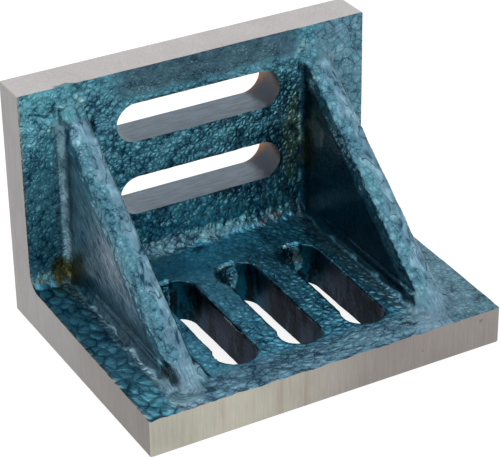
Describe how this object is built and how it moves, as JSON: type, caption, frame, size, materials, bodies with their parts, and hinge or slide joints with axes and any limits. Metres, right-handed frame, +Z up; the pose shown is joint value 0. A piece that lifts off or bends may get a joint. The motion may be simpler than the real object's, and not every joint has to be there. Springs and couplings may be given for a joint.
{
  "type": "slotted angle plate",
  "caption": "Iron angle plate: an upright and a base at a right angle, braced by triangular webs near the ends, with long bolt slots, ground outer faces and a painted as-cast inside.",
  "frame": {"origin": "under the middle of the plate: the centre of its width and depth, on the ground underside of the base", "axes": "+X along the width, towards the right end when the webs face the viewer, +Y towards the ground back of the upright, +Z up from the underside of the base to the top edge of the upright"},
  "size_m": [0.1142, 0.0888, 0.0762],
  "materials": {
    "casting": "blue hammertone paint on the as-cast inside, bare ground iron on the outside, the ends and the free edges"
  },
  "bodies": {
    "root": {"angle_plate": "casting"}
  },
  "joints": []
}
